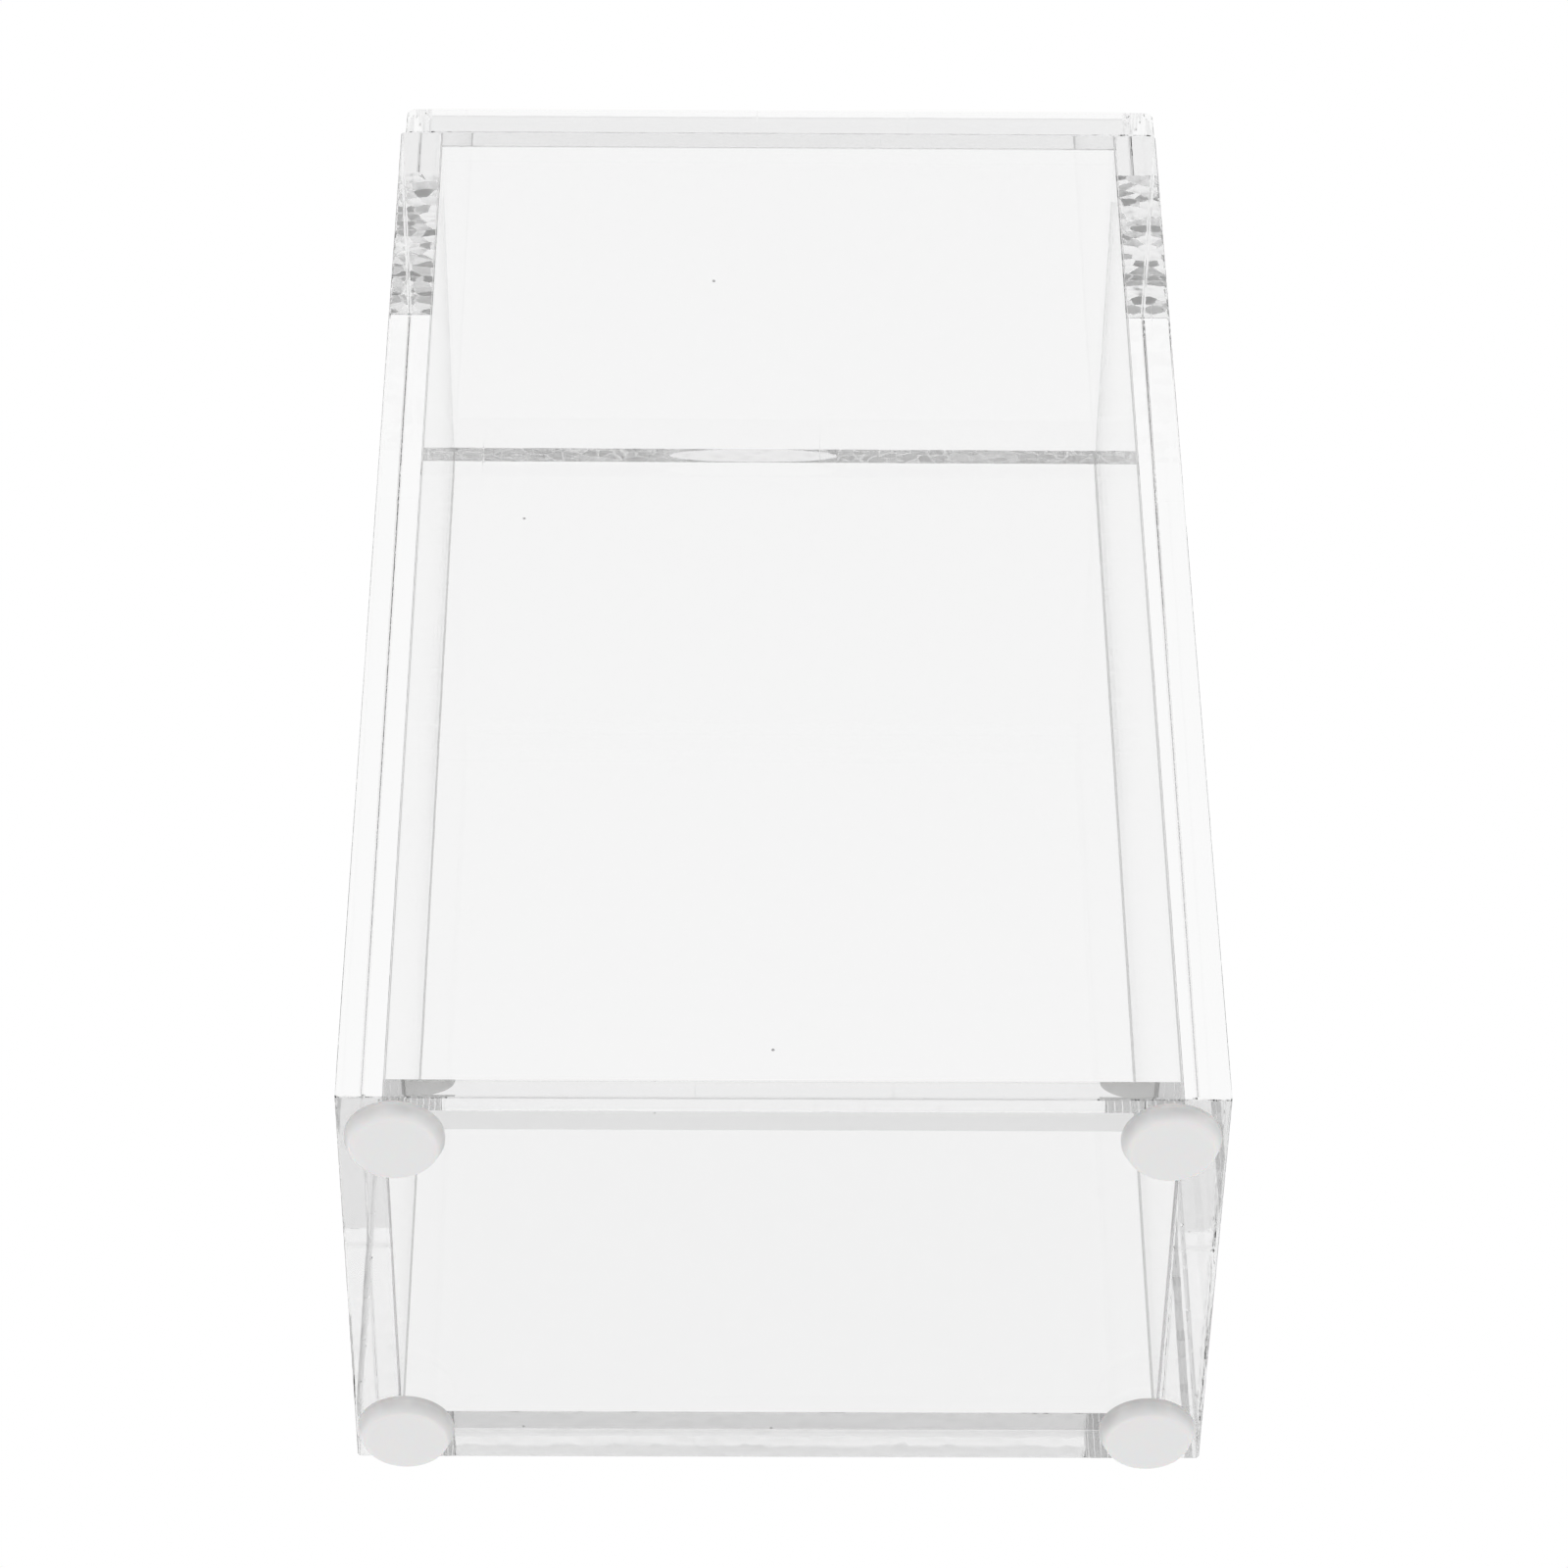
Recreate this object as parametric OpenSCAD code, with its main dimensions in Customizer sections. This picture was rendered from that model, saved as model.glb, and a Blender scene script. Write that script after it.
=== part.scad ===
// Clear acrylic storage box with a loose flat lid, standing on four stick-on silicone bumpers.
// Five cut sheets are cemented edge to edge and the lid is a sixth sheet that lifts straight off.
// Origin: on the ground under the middle of the box. X is width, Y is depth (front at -Y), Z is up.

/* [Body] */
// Outside width across both side panels
body_w = 90; // [50:0.5:200]
// Outside depth from front face to back face
body_d = 57; // [40:0.5:200]
// Height of the four walls
body_h = 156; // [40:0.5:300]
// Sheet thickness of the four walls
wall_t = 4.8; // [2:0.1:8]
// Sheet thickness of the base
base_t = 4.8; // [2:0.1:8]
// Width of the scraped bevel on every cut edge
edge_bevel = 0.25; // [0.1:0.05:0.6]

/* [Lid] */
// Sheet thickness of the lid
lid_t = 4.8; // [2:0.1:8]
// How much smaller than the body the lid is cut, in width and in depth
lid_undersize = 0.45; // [0:0.05:2]
// How far the lid sits off centre, towards +X
lid_slip = 0.22; // [0:0.02:0.22]
// Radius of the four upright corners of the lid
lid_corner_r = 1; // [0.6:0.1:4]
// Width of the polished bevel round both faces of the lid
lid_bevel = 0.3; // [0.1:0.05:0.5]

/* [Feet] */
// Diameter of a bumper where it is stuck to the base
foot_d = 10.2; // [10:0.1:14]
// Diameter of the flat face that a bumper stands on
foot_tip_d = 8.2; // [4:0.1:9]
// Height of a bumper without its adhesive film
foot_h = 2; // [1.6:0.1:5]
// Height of the straight rim of a bumper, next to the adhesive film
foot_rim_h = 0.5; // [0.2:0.1:1]
// Radius of the moulded edge round the standing face
foot_edge_r = 0.5; // [0.1:0.05:0.5]
// Thickness of the adhesive film
film_t = 0.15; // [0.1:0.05:0.5]
// How far the adhesive film stops short of the bumper's rim
film_inset = 0.25; // [0:0.05:1]
// Gap from a bumper's rim to the side face of the body
foot_side_gap = 0.75; // [0:0.05:20]
// Gap from the front bumpers' rims to the front face
foot_front_gap = 0.45; // [0:0.05:20]
// Gap from the back bumpers' rims to the back face
foot_back_gap = 0.2; // [0:0.05:20]
// How far the back left bumper was stuck down off its mark, towards -X
foot_slip = 0.5; // [0:0.05:0.5]

/* [Hidden] */
$fn = 64;
clear_sheet = [0.93, 0.95, 0.95, 0.35];
milky_silicone = [0.86, 0.87, 0.87, 0.9];
film_tint = [0.9, 0.9, 0.88, 0.6];

body_z = foot_h + film_t;
rim_z = body_z + body_h;
inner_w = body_w - 2 * wall_t;
inner_d = body_d - 2 * wall_t;
lid_w = body_w - lid_undersize;
lid_d = body_d - lid_undersize;
foot_x = body_w / 2 - foot_side_gap - foot_d / 2;
foot_front_y = -body_d / 2 + foot_front_gap + foot_d / 2;
foot_back_y = body_d / 2 - foot_back_gap - foot_d / 2;
edge_arc_steps = 6;

// Rectangle centred on the origin whose four corners are cut off by the bevel
module bevelled_rect(w, h, bevel) {
    x = w / 2;
    y = h / 2;
    polygon([
        [-x + bevel, -y], [x - bevel, -y], [x, -y + bevel], [x, y - bevel],
        [x - bevel, y], [-x + bevel, y], [-x, y - bevel], [-x, -y + bevel]
    ]);
}

// Cut sheet centred on the origin with the bevel on all twelve edges
module cut_sheet(w, d, h, bevel) {
    intersection() {
        linear_extrude(h, center = true) bevelled_rect(w, d, bevel);
        rotate([90, 0, 0]) linear_extrude(d, center = true) bevelled_rect(w, h, bevel);
        rotate([90, 0, 90]) linear_extrude(w, center = true) bevelled_rect(d, h, bevel);
    }
}

// Full depth side wall, with the front and back walls caught between the pair
module side_panel(side) {
    color(clear_sheet)
    translate([side * (body_w - wall_t) / 2, 0, body_z + body_h / 2])
    cut_sheet(wall_t, body_d, body_h, edge_bevel);
}

// Front or back wall, cemented by its two upright ends between the side walls
module end_panel(side) {
    color(clear_sheet)
    translate([0, side * (body_d - wall_t) / 2, body_z + body_h / 2])
    cut_sheet(inner_w, wall_t, body_h, edge_bevel);
}

// Base sheet, let in flush with the lower edges of the four walls
module base_panel() {
    color(clear_sheet)
    translate([0, 0, body_z + base_t / 2])
    cut_sheet(inner_w, inner_d, base_t, edge_bevel);
}

// Upright round corner of the lid, bevelled at both faces
module lid_corner() {
    straight_h = lid_t - 2 * lid_bevel;
    cylinder(h = lid_bevel, r1 = lid_corner_r - lid_bevel, r2 = lid_corner_r);
    translate([0, 0, lid_bevel]) cylinder(h = straight_h, r = lid_corner_r);
    translate([0, 0, lid_bevel + straight_h])
    cylinder(h = lid_bevel, r1 = lid_corner_r, r2 = lid_corner_r - lid_bevel);
}

// Flat lid that lies loose on the rim
module lid() {
    color(clear_sheet)
    translate([lid_slip, 0, rim_z])
    union() {
        translate([0, 0, lid_t / 2]) rotate([90, 0, 90])
        linear_extrude(lid_w - 2 * lid_corner_r, center = true)
        bevelled_rect(lid_d, lid_t, lid_bevel);
        translate([0, 0, lid_t / 2]) rotate([90, 0, 0])
        linear_extrude(lid_d - 2 * lid_corner_r, center = true)
        bevelled_rect(lid_w, lid_t, lid_bevel);
        for (sx = [-1, 1], sy = [-1, 1])
            translate([sx * (lid_w / 2 - lid_corner_r), sy * (lid_d / 2 - lid_corner_r), 0])
            lid_corner();
    }
}

// Moulded bumper: straight rim by the base, then a cone that a round edge blends into the
// standing face. cone_a is the slope of the cone at which it runs tangent to that edge.
module foot(x, y) {
    tip_r = foot_tip_d / 2;
    cone_out = foot_d / 2 - tip_r;
    cone_up = foot_h - foot_rim_h - foot_edge_r;
    cone_a = asin(foot_edge_r / norm([cone_out, cone_up])) + atan2(cone_up, cone_out);
    edge_arc = [
        for (i = [0 : edge_arc_steps])
        let (a = cone_a * i / edge_arc_steps)
        [tip_r + foot_edge_r * sin(a), foot_edge_r * (1 - cos(a))]
    ];
    color(milky_silicone)
    translate([x, y, 0])
    rotate_extrude()
    polygon(concat(
        [[0, 0]], edge_arc,
        [[foot_d / 2, foot_h - foot_rim_h], [foot_d / 2, foot_h], [0, foot_h]]
    ));
}

// Adhesive film between a bumper and the base
module film(x, y) {
    color(film_tint)
    translate([x, y, foot_h])
    cylinder(h = film_t, r = foot_d / 2 - film_inset);
}

module front_panel() end_panel(-1);
module back_panel() end_panel(1);
module left_panel() side_panel(-1);
module right_panel() side_panel(1);
module foot_front_left() foot(-foot_x, foot_front_y);
module foot_front_right() foot(foot_x, foot_front_y);
module foot_back_left() foot(-foot_x - foot_slip, foot_back_y);
module foot_back_right() foot(foot_x, foot_back_y);
module film_front_left() film(-foot_x, foot_front_y);
module film_front_right() film(foot_x, foot_front_y);
module film_back_left() film(-foot_x - foot_slip, foot_back_y);
module film_back_right() film(foot_x, foot_back_y);

front_panel();
back_panel();
left_panel();
right_panel();
base_panel();
lid();
foot_front_left();
foot_front_right();
foot_back_left();
foot_back_right();
film_front_left();
film_front_right();
film_back_left();
film_back_right();
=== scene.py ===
import math

import bmesh
import bpy
from mathutils import Matrix, Vector


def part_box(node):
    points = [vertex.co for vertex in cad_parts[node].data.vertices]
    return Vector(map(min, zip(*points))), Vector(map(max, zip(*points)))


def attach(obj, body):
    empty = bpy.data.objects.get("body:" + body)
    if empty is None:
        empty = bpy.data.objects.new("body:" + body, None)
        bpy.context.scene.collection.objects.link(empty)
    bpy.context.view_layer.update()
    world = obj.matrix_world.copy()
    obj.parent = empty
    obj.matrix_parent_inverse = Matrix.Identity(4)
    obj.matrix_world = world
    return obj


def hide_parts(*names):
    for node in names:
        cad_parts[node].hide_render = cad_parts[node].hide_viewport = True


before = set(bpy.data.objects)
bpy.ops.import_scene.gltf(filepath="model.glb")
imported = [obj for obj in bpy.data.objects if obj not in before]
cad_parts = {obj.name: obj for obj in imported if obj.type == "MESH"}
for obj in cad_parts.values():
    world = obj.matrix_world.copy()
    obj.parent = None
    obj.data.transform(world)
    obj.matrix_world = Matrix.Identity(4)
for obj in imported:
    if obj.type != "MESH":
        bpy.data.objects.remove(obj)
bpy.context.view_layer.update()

# Camera
# The photograph looks up at the box from below and in front, so that its base and its bumpers
# are the near end and the large front wall runs away from the lens.
camera_spot = Vector((-0.00581, -0.45664, -0.38999))
camera_azimuth = math.radians(-0.8045)
camera_rise = math.radians(45.5886)
camera_roll = math.radians(-0.335)
camera_lens = 132.906
camera_sensor = 36
nearest_seen = 0.01
farthest_seen = 20

look = Vector((
    -math.sin(camera_azimuth) * math.cos(camera_rise),
    math.cos(camera_azimuth) * math.cos(camera_rise),
    math.sin(camera_rise),
))
camera_data = bpy.data.cameras.new("camera")
camera_data.sensor_width = camera_sensor
camera_data.lens = camera_lens
camera_data.clip_start = nearest_seen
camera_data.clip_end = farthest_seen
camera = bpy.data.objects.new("camera", camera_data)
bpy.context.collection.objects.link(camera)
turned = look.to_track_quat("-Z", "Y").to_matrix().to_4x4() @ Matrix.Rotation(camera_roll, 4, "Z")
camera.matrix_world = Matrix.Translation(camera_spot) @ turned
bpy.context.scene.camera = camera
bpy.context.scene.view_settings.view_transform = "Standard"


# Studio
# A pale floor that shows only from above, a white room with one soft shaded side, and one soft
# lamp overhead. Light crosses many faces of the clear sheets, so its paths may be long.
longest_path = 48
longest_glass_path = 40
longest_straight_path = 32
floor_size = 3.0
floor_drop = 0.0002
floor_tone = 0.80
room_white = 1.0
room_grey = 0.85
shaded_side = Vector((0.0, -0.7, 0.714))
shade_begins = 0.35
shade_is_full = 0.85
lamp_size = 0.9
lamp_power = 3.0
lamp_spot = Vector((0.3, -0.5, 1.1))

bpy.context.scene.cycles.max_bounces = longest_path
bpy.context.scene.cycles.glossy_bounces = longest_glass_path
bpy.context.scene.cycles.transmission_bounces = longest_glass_path
bpy.context.scene.cycles.transparent_max_bounces = longest_straight_path


def grey(tone):
    """A neutral colour of that tone, from 0 to 1."""
    return (tone, tone, tone, 1)


def shader(tree, kind, **values):
    """A new node of that kind, with its inputs or properties set by name."""
    made = tree.nodes.new(kind)
    for key, value in values.items():
        socket = made.inputs.get(key.replace("_", " "))
        if socket is None:
            setattr(made, key, value)
        elif isinstance(value, bpy.types.NodeSocket):
            tree.links.new(value, socket)
        else:
            socket.default_value = value
    return made


def worked_out(tree, operation, first, second):
    """The result of one operation on two values, each a socket or a plain number."""
    made = shader(tree, "ShaderNodeMath", operation=operation)
    for socket, value in zip(made.inputs, (first, second)):
        if isinstance(value, bpy.types.NodeSocket):
            tree.links.new(value, socket)
        else:
            socket.default_value = value
    return made.outputs[0]


def over(tree, amount, below, above):
    """Two finishes in one, where an amount of 1 shows only the one above."""
    made = shader(tree, "ShaderNodeMixShader", Fac=amount)
    tree.links.new(below.outputs[0], made.inputs[1])
    tree.links.new(above.outputs[0], made.inputs[2])
    return made


def material(name):
    """An empty node material and its tree, with the output node."""
    made = bpy.data.materials.new(name)
    made.use_nodes = True
    made.node_tree.nodes.clear()
    output = made.node_tree.nodes.new("ShaderNodeOutputMaterial")
    return made, made.node_tree, output


bpy.ops.mesh.primitive_plane_add(size=floor_size, location=(0, 0, -floor_drop))
floor = bpy.context.object
floor.name = "floor"
floor_paint, tree, output = material("floor_paint")
paper = shader(tree, "ShaderNodeBsdfDiffuse", Color=grey(floor_tone))
gap = shader(tree, "ShaderNodeBsdfTransparent")
side = shader(tree, "ShaderNodeNewGeometry")
one_sided = over(tree, side.outputs["Backfacing"], paper, gap)
tree.links.new(one_sided.outputs[0], output.inputs["Surface"])
floor.data.materials.append(floor_paint)
floor.visible_shadow = False
floor.visible_diffuse = False

world = bpy.data.worlds.new("room")
bpy.context.scene.world = world
world.use_nodes = True
tree = world.node_tree
tree.nodes.clear()
way = shader(tree, "ShaderNodeTexCoord")
toward = shader(tree, "ShaderNodeVectorMath", operation="DOT_PRODUCT", Vector=way.outputs["Generated"])
toward.inputs[1].default_value = shaded_side
shaded = shader(
    tree, "ShaderNodeMapRange", interpolation_type="SMOOTHSTEP", Value=toward.outputs["Value"],
    From_Min=shade_begins, From_Max=shade_is_full, To_Min=room_white, To_Max=room_grey,
)
ray = shader(tree, "ShaderNodeLightPath")
unshaded = worked_out(tree, "MAXIMUM", ray.outputs["Is Camera Ray"], ray.outputs["Is Diffuse Ray"])
seen = shader(tree, "ShaderNodeMix", data_type="FLOAT")
tree.links.new(unshaded, seen.inputs[0])
tree.links.new(shaded.outputs["Result"], seen.inputs[2])
seen.inputs[3].default_value = room_white
glow = shader(tree, "ShaderNodeBackground", Color=grey(room_white), Strength=seen.outputs[0])
shader(tree, "ShaderNodeOutputWorld", Surface=glow.outputs[0])

lamp_data = bpy.data.lights.new("overhead_softbox", "AREA")
lamp_data.shape = "SQUARE"
lamp_data.size = lamp_size
lamp_data.energy = lamp_power
lamp = bpy.data.objects.new("overhead_softbox", lamp_data)
bpy.context.collection.objects.link(lamp)
lamp.visible_glossy = False
lamp.visible_transmission = False
lamp.location = lamp_spot
lamp.rotation_euler = (-lamp_spot).to_track_quat("-Z", "Y").to_euler()


# Front and back walls
# Cast acrylic sheet, 4.8 mm thick, with polished faces and scraped edges, cemented by the upright
# ends between the side walls. The back wall's top end is left as machined, with grey painted on it
# as a reflection of darker surroundings, except for one spot near its middle.
mm = 0.001
arris = 0.25 * mm
joint_arris = 0.08 * mm
arris_steps = 2
round_arris = 0.5
cement_line = 0.01 * mm
rim_gap = 0.03 * mm
film_gap = 0.01 * mm
touching = 0.05 * mm
shortest_edge = 0.002 * mm
sharp_angle = 1.0
flat = 0.999

acrylic_index = 1.49
acrylic_tone = 0.967
shadow_tone = 0.93
wave_scale = 60.0
wave_depth = 0.004 * mm
grain_detail = 4.0
scratch_lie = (0.3, 0.5, 0.9)
scratch_scale = (1500.0, 18.0, 18.0)
scratch_begins = 0.74
scratch_is_full = 0.78
scratch_roughness = 0.12
dust_scale = 45.0
dust_size = 0.009
dust_tone = 0.5
contact_tone = 0.99
bumper_corners = ("front_left", "front_right", "back_left", "back_right")

cement_tone = 0.98
cement_edge_tone = 0.72
cement_edge = 0.2

facet_scale = 520.0
facet_depth = 0.12 * mm
facet_tone = 0.96
facet_roughness = 0.12
seam_width = 0.09
seam_share = 0.45
glance_blend = 0.5
glance_begins = 0.2
glance_is_full = 0.48
glance_least = 0.08
unpainted_spot_x = -2.7 * mm
unpainted_spot_half = 10.5 * mm
unpainted_spot_depth = 2.1 * mm
# Shares and tone of the grey painted on the back wall's machined end as a reflection.
back_reflection_least = 0.6
back_reflection_most = 0.85
back_painted_reflection_tone = 0.58

front_low, front_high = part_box("front_panel")
back_low, back_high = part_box("back_panel")
base_low, base_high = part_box("base_panel")
inner_y = base_high.y
base_top = base_high.z
body_bottom = base_low.z
unpainted_spot_y = (back_low.y + back_high.y) / 2


def fine_grain(tree, scale, depth):
    """The slight unevenness of a real surface, as a bump of that depth in metres."""
    place = shader(tree, "ShaderNodeTexCoord").outputs["Object"]
    grain = shader(tree, "ShaderNodeTexNoise", Vector=place, Scale=scale, Detail=grain_detail)
    return shader(tree, "ShaderNodeBump", Height=grain.outputs[0], Strength=1.0, Distance=depth)


def under_the_films(tree, place):
    """1 on the body's underside where an adhesive film is stuck to it, and 0 elsewhere."""
    at = shader(tree, "ShaderNodeSeparateXYZ", Vector=place)
    underside = worked_out(tree, "LESS_THAN", at.outputs["Z"], body_bottom + arris / 2)
    wetted = 0.0
    for corner_name in bumper_corners:
        film_low, film_high = (Vector(c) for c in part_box("film_" + corner_name))
        middle = (film_low + film_high) / 2
        radius = (film_high.x - film_low.x) / 2
        away = shader(tree, "ShaderNodeVectorMath", operation="DISTANCE", Vector=place)
        away.inputs[1].default_value = (middle.x, middle.y, body_bottom)
        stuck = worked_out(tree, "LESS_THAN", away.outputs["Value"], radius)
        wetted = worked_out(tree, "MAXIMUM", wetted, stuck)
    return worked_out(tree, "MULTIPLY", underside, wetted)


def clear_acrylic():
    """Polished sheet with faint waviness, hairline scratches and a speck of dust here and there.
    Where an adhesive film wets it, light passes straight on. Shadows through it are pale."""
    made, tree, output = material("clear_acrylic")
    place = shader(tree, "ShaderNodeTexCoord").outputs["Object"]
    wave = fine_grain(tree, wave_scale, wave_depth)
    along = shader(tree, "ShaderNodeMapping", Vector=place, Rotation=scratch_lie, Scale=scratch_scale)
    streaks = shader(tree, "ShaderNodeTexNoise", Vector=along.outputs[0], Scale=1.0, Detail=1.0)
    scratch = shader(
        tree, "ShaderNodeMapRange", Value=streaks.outputs[0],
        From_Min=scratch_begins, From_Max=scratch_is_full, To_Max=scratch_roughness,
    )
    glass = shader(
        tree, "ShaderNodeBsdfPrincipled", Base_Color=grey(acrylic_tone), Roughness=scratch.outputs[0],
        IOR=acrylic_index, Transmission_Weight=1.0, Normal=wave.outputs[0],
    )
    dust = shader(tree, "ShaderNodeTexVoronoi", Vector=place, Scale=dust_scale)
    speck = worked_out(tree, "LESS_THAN", dust.outputs["Distance"], dust_size)
    dusty = over(tree, speck, glass, shader(tree, "ShaderNodeBsdfDiffuse", Color=grey(dust_tone)))
    wet = shader(tree, "ShaderNodeBsdfTransparent", Color=grey(contact_tone))
    bonded = over(tree, under_the_films(tree, place), dusty, wet)
    ray = shader(tree, "ShaderNodeLightPath")
    pale = shader(tree, "ShaderNodeBsdfTransparent", Color=grey(shadow_tone))
    lit = over(tree, ray.outputs["Is Shadow Ray"], bonded, pale)
    tree.links.new(lit.outputs[0], output.inputs["Surface"])
    return made


def two_tones(tree, how_far, first, second):
    """A colour that goes from the first tone to the second as how_far goes from 0 to 1."""
    made = shader(tree, "ShaderNodeMix", data_type="RGBA")
    tree.links.new(how_far, made.inputs[0])
    made.inputs[6].default_value = grey(first)
    made.inputs[7].default_value = grey(second)
    return made.outputs[2]


def cement():
    """Clear solvent cement between two sheets, which shows as a line where it is seen edge on."""
    made, tree, output = material("cement")
    edge_on = shader(tree, "ShaderNodeLayerWeight", Blend=cement_edge).outputs["Facing"]
    tint = two_tones(tree, edge_on, cement_tone, cement_edge_tone)
    film = shader(tree, "ShaderNodeBsdfTransparent", Color=tint)
    tree.links.new(film.outputs[0], output.inputs["Surface"])
    return made


def machined_acrylic_with_painted_reflection(name, least, most, tone):
    """A machined end: facets of about 2 mm, with grey painted on as a reflection of darker surroundings
    seen inside the sheet. Each facet has its own share of the painted grey from least to most, with
    less of it along their seams; it grows at grazing views and stays off one spot of the back wall."""
    made, tree, output = material(name)
    place = shader(tree, "ShaderNodeTexCoord").outputs["Object"]
    cells = shader(tree, "ShaderNodeTexVoronoi", Vector=place, Scale=facet_scale)
    facet = shader(
        tree, "ShaderNodeBump", Height=cells.outputs["Distance"], Strength=1.0, Distance=facet_depth,
    )
    glass = shader(
        tree, "ShaderNodeBsdfPrincipled", Base_Color=grey(facet_tone), Roughness=facet_roughness,
        IOR=acrylic_index, Transmission_Weight=1.0, Normal=facet.outputs[0],
    )
    # Painted reflection: each facet's share of the grey, more at grazing views and less along the seams.
    chance = shader(tree, "ShaderNodeSeparateColor", Color=cells.outputs["Color"])
    share = shader(tree, "ShaderNodeMapRange", Value=chance.outputs[0], To_Min=least, To_Max=most)
    glance = shader(tree, "ShaderNodeLayerWeight", Blend=glance_blend)
    mirrored = shader(
        tree, "ShaderNodeMapRange", Value=glance.outputs["Facing"],
        From_Min=glance_begins, From_Max=glance_is_full, To_Min=glance_least,
    )
    borders = shader(
        tree, "ShaderNodeTexVoronoi", feature="DISTANCE_TO_EDGE", Vector=place, Scale=facet_scale,
    )
    seam = shader(
        tree, "ShaderNodeMapRange", Value=borders.outputs["Distance"],
        From_Max=seam_width, To_Min=seam_share,
    )
    # One spot on the back wall's top end is left without the painted grey.
    spot = shader(
        tree, "ShaderNodeMapping", vector_type="TEXTURE", Vector=place,
        Location=(unpainted_spot_x, unpainted_spot_y, back_high.z), Scale=(unpainted_spot_half, unpainted_spot_depth, 1),
    )
    reach = shader(tree, "ShaderNodeVectorMath", operation="LENGTH", Vector=spot.outputs[0])
    outside = worked_out(tree, "GREATER_THAN", reach.outputs["Value"], 1.0)
    amount = worked_out(tree, "MULTIPLY", share.outputs[0], mirrored.outputs[0])
    amount = worked_out(tree, "MULTIPLY", amount, seam.outputs[0])
    amount = worked_out(tree, "MULTIPLY", amount, outside)
    # A flat grey painted on as a reflection of darker surroundings seen inside the sheet.
    painted_reflection_grey = shader(tree, "ShaderNodeBsdfDiffuse", Color=grey(tone))
    mixed = over(tree, amount, glass, painted_reflection_grey)
    tree.links.new(mixed.outputs[0], output.inputs["Surface"])
    return made


def near(a, b):
    """Whether two places are the same, within the width of a joint."""
    return abs(a - b) < touching


def cut_sheet(name, low, high, splits, role, bevels):
    """A sheet as a closed mesh from low to high. splits adds edge loops at x, y and z values.
    bevels lists (test of an edge's middle, width), and role picks each flat face's material."""
    rows = [sorted({low[i], high[i], *splits[i]}) for i in range(3)]
    bm = bmesh.new()
    made = {}

    def corner(*at):
        if at not in made:
            made[at] = bm.verts.new([rows[i][at[i]] for i in range(3)])
        return made[at]

    for axis in range(3):
        u, v = [i for i in range(3) if i != axis]
        for end in (0, len(rows[axis]) - 1):
            for a in range(len(rows[u]) - 1):
                for b in range(len(rows[v]) - 1):
                    ring = []
                    for du, dv in ((0, 0), (1, 0), (1, 1), (0, 1)):
                        at = [0, 0, 0]
                        at[axis], at[u], at[v] = end, a + du, b + dv
                        ring.append(corner(*at))
                    bm.faces.new(ring)
    bmesh.ops.recalc_face_normals(bm, faces=bm.faces)
    for test, width in bevels:
        sharp = []
        for edge in bm.edges:
            middle = (edge.verts[0].co + edge.verts[1].co) / 2
            if edge.calc_face_angle(0) > sharp_angle and test(middle):
                sharp.append(edge)
        bmesh.ops.bevel(
            bm, geom=sharp, offset=width, segments=arris_steps, profile=round_arris,
            affect="EDGES", clamp_overlap=True,
        )
    bmesh.ops.dissolve_degenerate(bm, edges=bm.edges, dist=shortest_edge)
    for face in bm.faces:
        axis_aligned = max(abs(c) for c in face.normal) > flat
        face.material_index = role(face.calc_center_median(), face.normal) if axis_aligned else polished
    mesh = bpy.data.meshes.new(name)
    bm.to_mesh(mesh)
    bm.free()
    piece = bpy.data.objects.new(name, mesh)
    bpy.context.collection.objects.link(piece)
    return piece


acrylic = clear_acrylic()
cement_film = cement()
machined_back_painted_reflection = machined_acrylic_with_painted_reflection("machined_back_painted_reflection", back_reflection_least, back_reflection_most, back_painted_reflection_tone)
# Where each finish stands among a sheet's materials
polished, glued, machined = range(3)


def end_wall(name, node, outer_y, top_end):
    low, high = (Vector(c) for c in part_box(node))
    low.z += film_gap
    high.z -= rim_gap
    low.x += cement_line
    high.x -= cement_line
    inner_face = math.copysign(inner_y, outer_y)

    def role(at, normal):
        if near(at.z, high.z):
            return top_end
        upright_end = abs(normal.x) > flat
        against_base = near(at.y, inner_face) and at.z < base_top
        return glued if upright_end or against_base else polished

    bevels = [
        (lambda at: near(at.z, high.z) and abs(at.x) < high.x - mm, arris),
        (lambda at: near(at.z, low.z) and near(at.y, outer_y), arris),
        (lambda at: near(abs(at.x), high.x) and near(at.y, outer_y), joint_arris),
    ]
    piece = cut_sheet(name, low, high, ([], [], [base_top]), role, bevels)
    for finish in (acrylic, cement_film, machined_back_painted_reflection):
        piece.data.materials.append(finish)
    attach(piece, "box")
    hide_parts(node)


end_wall("front_wall", "front_panel", front_low.y, polished)
end_wall("back_wall", "back_panel", -front_low.y, machined)


# Side walls
# The same acrylic sheet in the full depth of the box, so their front and back cut edges show on
# its outside. They are cemented to the ends of the front and back walls and to the base.
# Their top ends are polished for a short run at the front and left as machined behind it, with grey
# painted on there as a reflection of darker surroundings.
polished_run = 12.6 * mm
base_arris = 0.04 * mm
# Shares and tone of the grey painted on the side walls' machined ends as a reflection.
side_reflection_least = -0.45
side_reflection_most = 0.95
side_painted_reflection_tone = 0.46
inner_x = front_high.x

machined_side_painted_reflection = machined_acrylic_with_painted_reflection("machined_side_painted_reflection", side_reflection_least, side_reflection_most, side_painted_reflection_tone)


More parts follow.
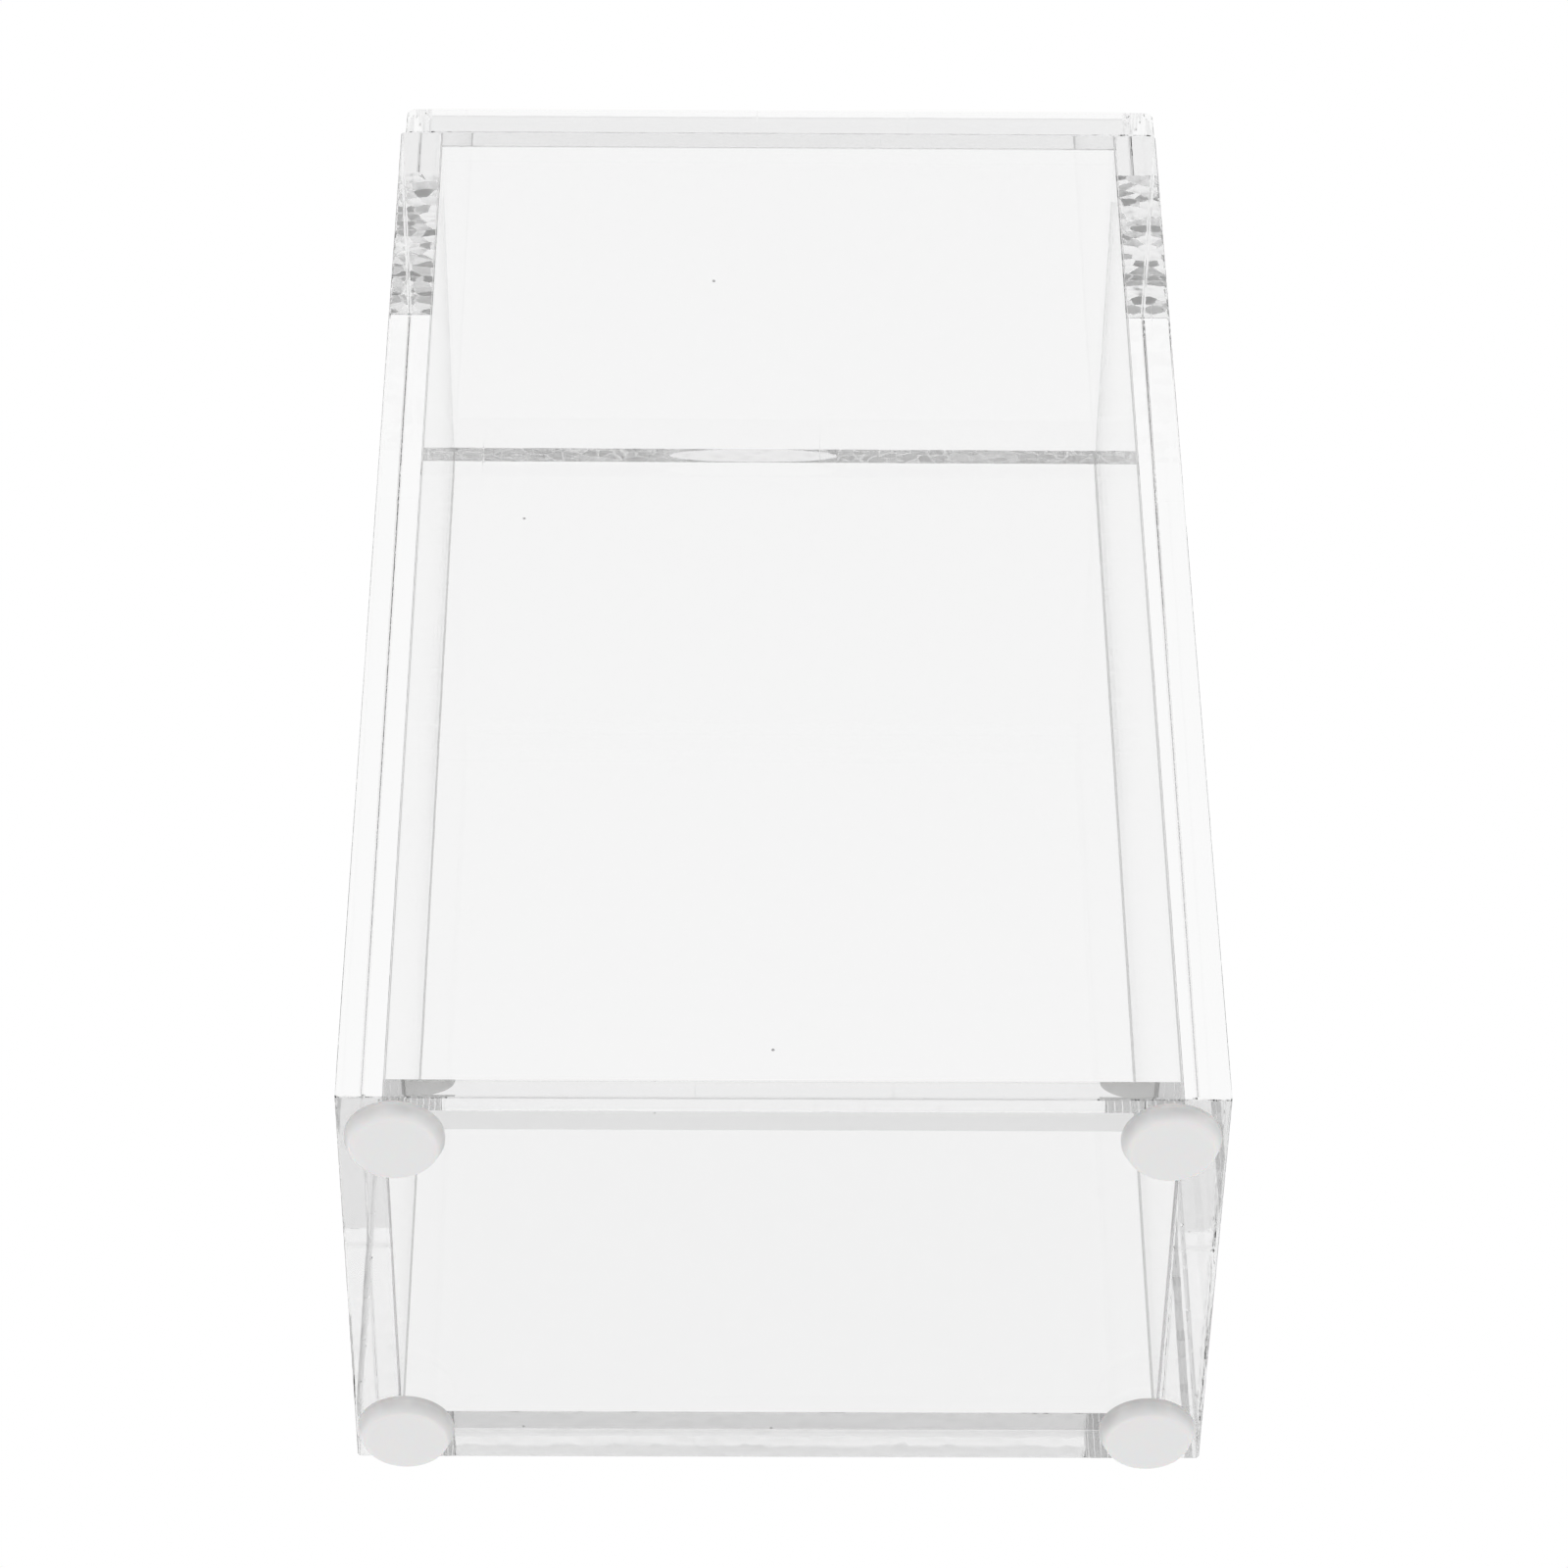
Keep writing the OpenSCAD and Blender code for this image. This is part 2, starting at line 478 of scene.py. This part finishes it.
def side_wall(name, node, side):
    low, high = (Vector(c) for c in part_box(node))
    low.z += film_gap
    high.z -= rim_gap
    glue_x = side * inner_x
    machined_from = low.y + polished_run

    def role(at, normal):
        if near(at.z, high.z) and at.y > machined_from:
            return machined
        inner_side = near(at.x, glue_x) and abs(normal.x) > flat
        against_a_sheet = abs(at.y) > inner_y or at.z < base_top
        return glued if inner_side and against_a_sheet else polished

    bevels = [
        (lambda at: near(at.z, high.z) or (near(at.z, low.z) and not near(at.x, glue_x)), arris),
        (lambda at: near(at.z, low.z) and near(at.x, glue_x), base_arris),
        (lambda at: near(abs(at.y), high.y) and not near(at.x, glue_x), arris),
        (lambda at: near(abs(at.y), high.y) and near(at.x, glue_x), joint_arris),
    ]
    splits = ([], [-inner_y, machined_from, inner_y], [base_top])
    piece = cut_sheet(name, low, high, splits, role, bevels)
    for finish in (acrylic, cement_film, machined_side_painted_reflection):
        piece.data.materials.append(finish)
    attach(piece, "box")
    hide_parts(node)


side_wall("left_wall", "left_panel", -1)
side_wall("right_wall", "right_panel", 1)


# Base
# One more acrylic sheet, let in between the four walls and flush with their lower edges. Cement
# holds it to them all round.
def base_sheet():
    low, high = (Vector(c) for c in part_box("base_panel"))
    inset = Vector((cement_line, cement_line, 0))
    low += inset
    high -= inset
    low.z += film_gap

    def role(at, normal):
        return polished if abs(normal.z) > flat else glued

    bevels = [(lambda at: near(at.z, low.z), base_arris)]
    piece = cut_sheet("base_sheet", low, high, ([], [], []), role, bevels)
    for finish in (acrylic, cement_film):
        piece.data.materials.append(finish)
    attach(piece, "box")
    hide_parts("base_panel")


base_sheet()


# Lid
# A sixth acrylic sheet, polished all over, with rounded upright corners. It isn't fixed and lies
# loose on the walls' top ends.
lid_corner = 1.0 * mm
lid_corner_steps = 6
lid_arris = 0.3 * mm
level = 0.01 * mm


def lid_sheet():
    low, high = (Vector(c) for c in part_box("lid"))
    size = high - low
    bm = bmesh.new()
    bmesh.ops.create_cube(bm, size=1)
    for vert in bm.verts:
        vert.co = low + Vector(((vert.co[i] + 0.5) * size[i] for i in range(3)))
    upright = [e for e in bm.edges if abs(e.verts[0].co.z - e.verts[1].co.z) > mm]
    bmesh.ops.bevel(
        bm, geom=upright, offset=lid_corner, segments=lid_corner_steps, profile=round_arris,
        affect="EDGES",
    )
    ring = [e for e in bm.edges if abs(e.verts[0].co.z - e.verts[1].co.z) < level]
    bmesh.ops.bevel(
        bm, geom=ring, offset=lid_arris, segments=arris_steps, profile=round_arris, affect="EDGES",
    )
    mesh = bpy.data.meshes.new("lid_sheet")
    bm.to_mesh(mesh)
    bm.free()
    piece = bpy.data.objects.new("lid_sheet", mesh)
    bpy.context.collection.objects.link(piece)
    piece.data.materials.append(acrylic)
    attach(piece, "lid")
    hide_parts("lid")


lid_sheet()


# Bumpers
# Four discs of moulded milky silicone, with shade painted on up their sides in soft patches, darker
# than their standing face. Each is stuck under a corner of the box by its own clear adhesive film.
skin_scale = 2500.0
skin_depth = 0.01 * mm
milk_tone = 0.77
# Tone and reach of the shade painted up the bumpers' sides.
painted_side_shade_tone = 0.42
side_shade_begins = 0.1 * mm
side_shade_is_full = 1.2 * mm
shade_patch_scale = 300.0
silicone_roughness = 0.3
silicone_milkiness = 0.25
silicone_reach = 1.0 * mm
bubble_scale = 4000.0
bubble_depth = 0.01 * mm
film_colour = (0.88, 0.88, 0.87, 1)
film_roughness = 0.5


def silicone():
    made, tree, output = material("milky_silicone")
    skin = fine_grain(tree, skin_scale, skin_depth)
    place = shader(tree, "ShaderNodeTexCoord").outputs["Object"]
    at = shader(tree, "ShaderNodeSeparateXYZ", Vector=place)
    # Painted shade: the sides go darker with height above the standing face, in soft patches.
    shade_up_the_side = shader(
        tree, "ShaderNodeMapRange", Value=at.outputs["Z"],
        From_Min=side_shade_begins, From_Max=side_shade_is_full,
    )
    shade_patches = shader(tree, "ShaderNodeTexNoise", Vector=place, Scale=shade_patch_scale)
    how_far = worked_out(tree, "MULTIPLY", shade_up_the_side.outputs[0], shade_patches.outputs[0])
    soft = shader(
        tree, "ShaderNodeBsdfPrincipled", Base_Color=two_tones(tree, how_far, milk_tone, painted_side_shade_tone),
        Roughness=silicone_roughness, Subsurface_Weight=silicone_milkiness,
        Subsurface_Scale=silicone_reach, Normal=skin.outputs[0],
    )
    tree.links.new(soft.outputs[0], output.inputs["Surface"])
    return made


def adhesive():
    made, tree, output = material("adhesive_film")
    bubbles = fine_grain(tree, bubble_scale, bubble_depth)
    tacky = shader(
        tree, "ShaderNodeBsdfPrincipled", Base_Color=film_colour, Roughness=film_roughness,
        Normal=bubbles.outputs[0],
    )
    tree.links.new(tacky.outputs[0], output.inputs["Surface"])
    return made


milky = silicone()
tacky_film = adhesive()
for corner_name in bumper_corners:
    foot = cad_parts["foot_" + corner_name]
    foot.data.materials.clear()
    foot.data.materials.append(milky)
    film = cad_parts["film_" + corner_name]
    film.data.materials.clear()
    film.data.materials.append(tacky_film)
